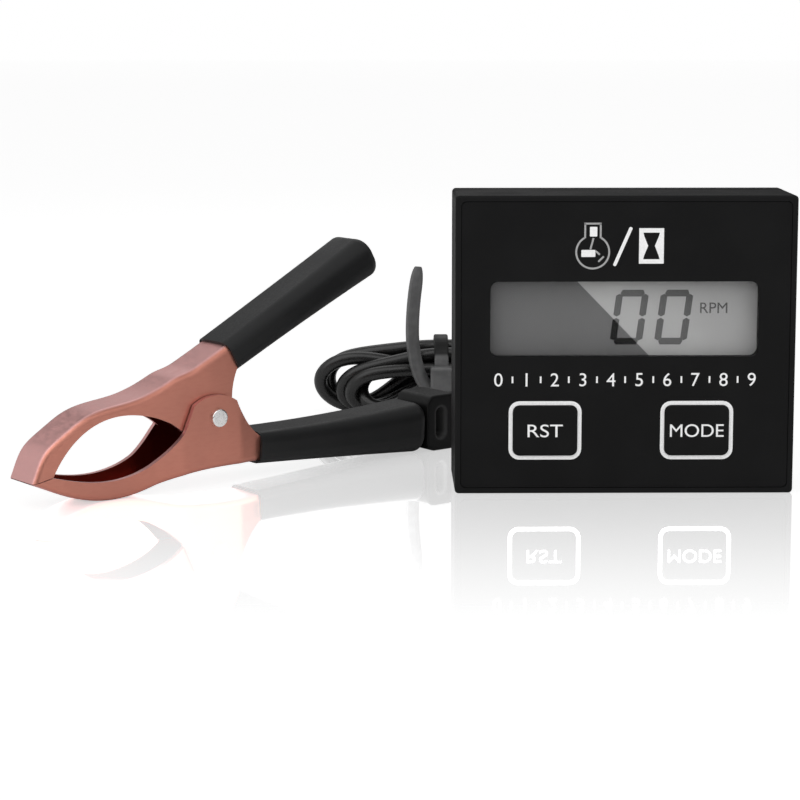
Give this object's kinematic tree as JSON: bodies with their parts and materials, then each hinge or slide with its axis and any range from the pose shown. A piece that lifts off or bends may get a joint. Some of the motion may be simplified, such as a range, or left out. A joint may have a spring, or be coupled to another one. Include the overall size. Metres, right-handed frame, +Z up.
{
  "type": "small engine tachometer",
  "caption": "Square meter case with a wide display window and push keys on its face; a thin tied lead joins it to a sprung copper clip with sleeved handles.",
  "frame": {"origin": "centre of the case's bottom face, on the surface it stands on", "axes": "+Z up, the display looks along -Y, and +X runs to the case's right as seen from the front; the clip lies to the left"},
  "size_m": [0.1166, 0.0858, 0.045],
  "materials": {
    "case": "fine satin moulded",
    "steel": "plain",
    "gasket": "matte",
    "overlay": "printed film, satin",
    "lens": "clear",
    "display": "grey-green display with dark figures",
    "frame": "moulded",
    "board": "solder mask",
    "chip": "moulded",
    "ceramic": "plain",
    "cable": "smooth, slightly glossy",
    "copper": "bright copper plated",
    "nickel": "bright",
    "vinyl": "soft matte vinyl",
    "tie": "nylon",
    "key": "matte, printed word",
    "plunger": "moulded"
  },
  "bodies": {
    "meter_and_clip": {"front_shell": "case", "rear_shell": "case", "case_gasket": "gasket", "face_overlay": "overlay", "window_lens": "lens", "lcd_glass": "display", "lcd_frame": "frame", "zebra_strip_upper": "gasket", "zebra_strip_lower": "gasket", "circuit_board": "board", "case_screws": "steel", "control_chip": "chip", "crystal": "steel", "chip_parts": "ceramic", "coin_cell": "steel", "cell_strap": "steel", "cable_gland": "cable", "case_lead_tail": "cable", "lower_jaw": "copper", "pivot_rivet": "nickel", "torsion_spring": "steel", "lower_sleeve": "vinyl", "handle_boot": "cable", "lead_crimp": "nickel", "clip_lead_tail": "cable", "lead_hank": "cable", "cable_tie": "tie", "lead_to_case": "cable", "lead_to_clip": "cable", "reset_switch": "chip", "mode_switch": "chip"},
    "upper_jaw": {"upper_jaw": "copper", "upper_sleeve": "vinyl"},
    "reset_key": {"reset_key": "key", "reset_plunger": "plunger"},
    "mode_key": {"mode_key": "key", "mode_plunger": "plunger"}
  },
  "joints": [
    {"name": "jaw_hinge", "type": "hinge", "parent": "meter_and_clip", "child": "upper_jaw", "pos_m": [-0.0643, 0.0021, 0.0106], "axis": [-0.6129, 0.7902, 0], "range_deg": [0, 28], "stiffness_Nm_per_rad": 0.25, "springref_deg": -57.3, "deforming": ["torsion_spring"]},
    {"name": "reset_slide", "type": "slide", "parent": "meter_and_clip", "child": "reset_key", "axis": [0, 1, 0], "range_m": [0, 0.0004], "stiffness_N_per_m": 200, "springref_m": -0.001},
    {"name": "mode_slide", "type": "slide", "parent": "meter_and_clip", "child": "mode_key", "axis": [0, 1, 0], "range_m": [0, 0.0004], "stiffness_N_per_m": 200, "springref_m": -0.001}
  ]
}
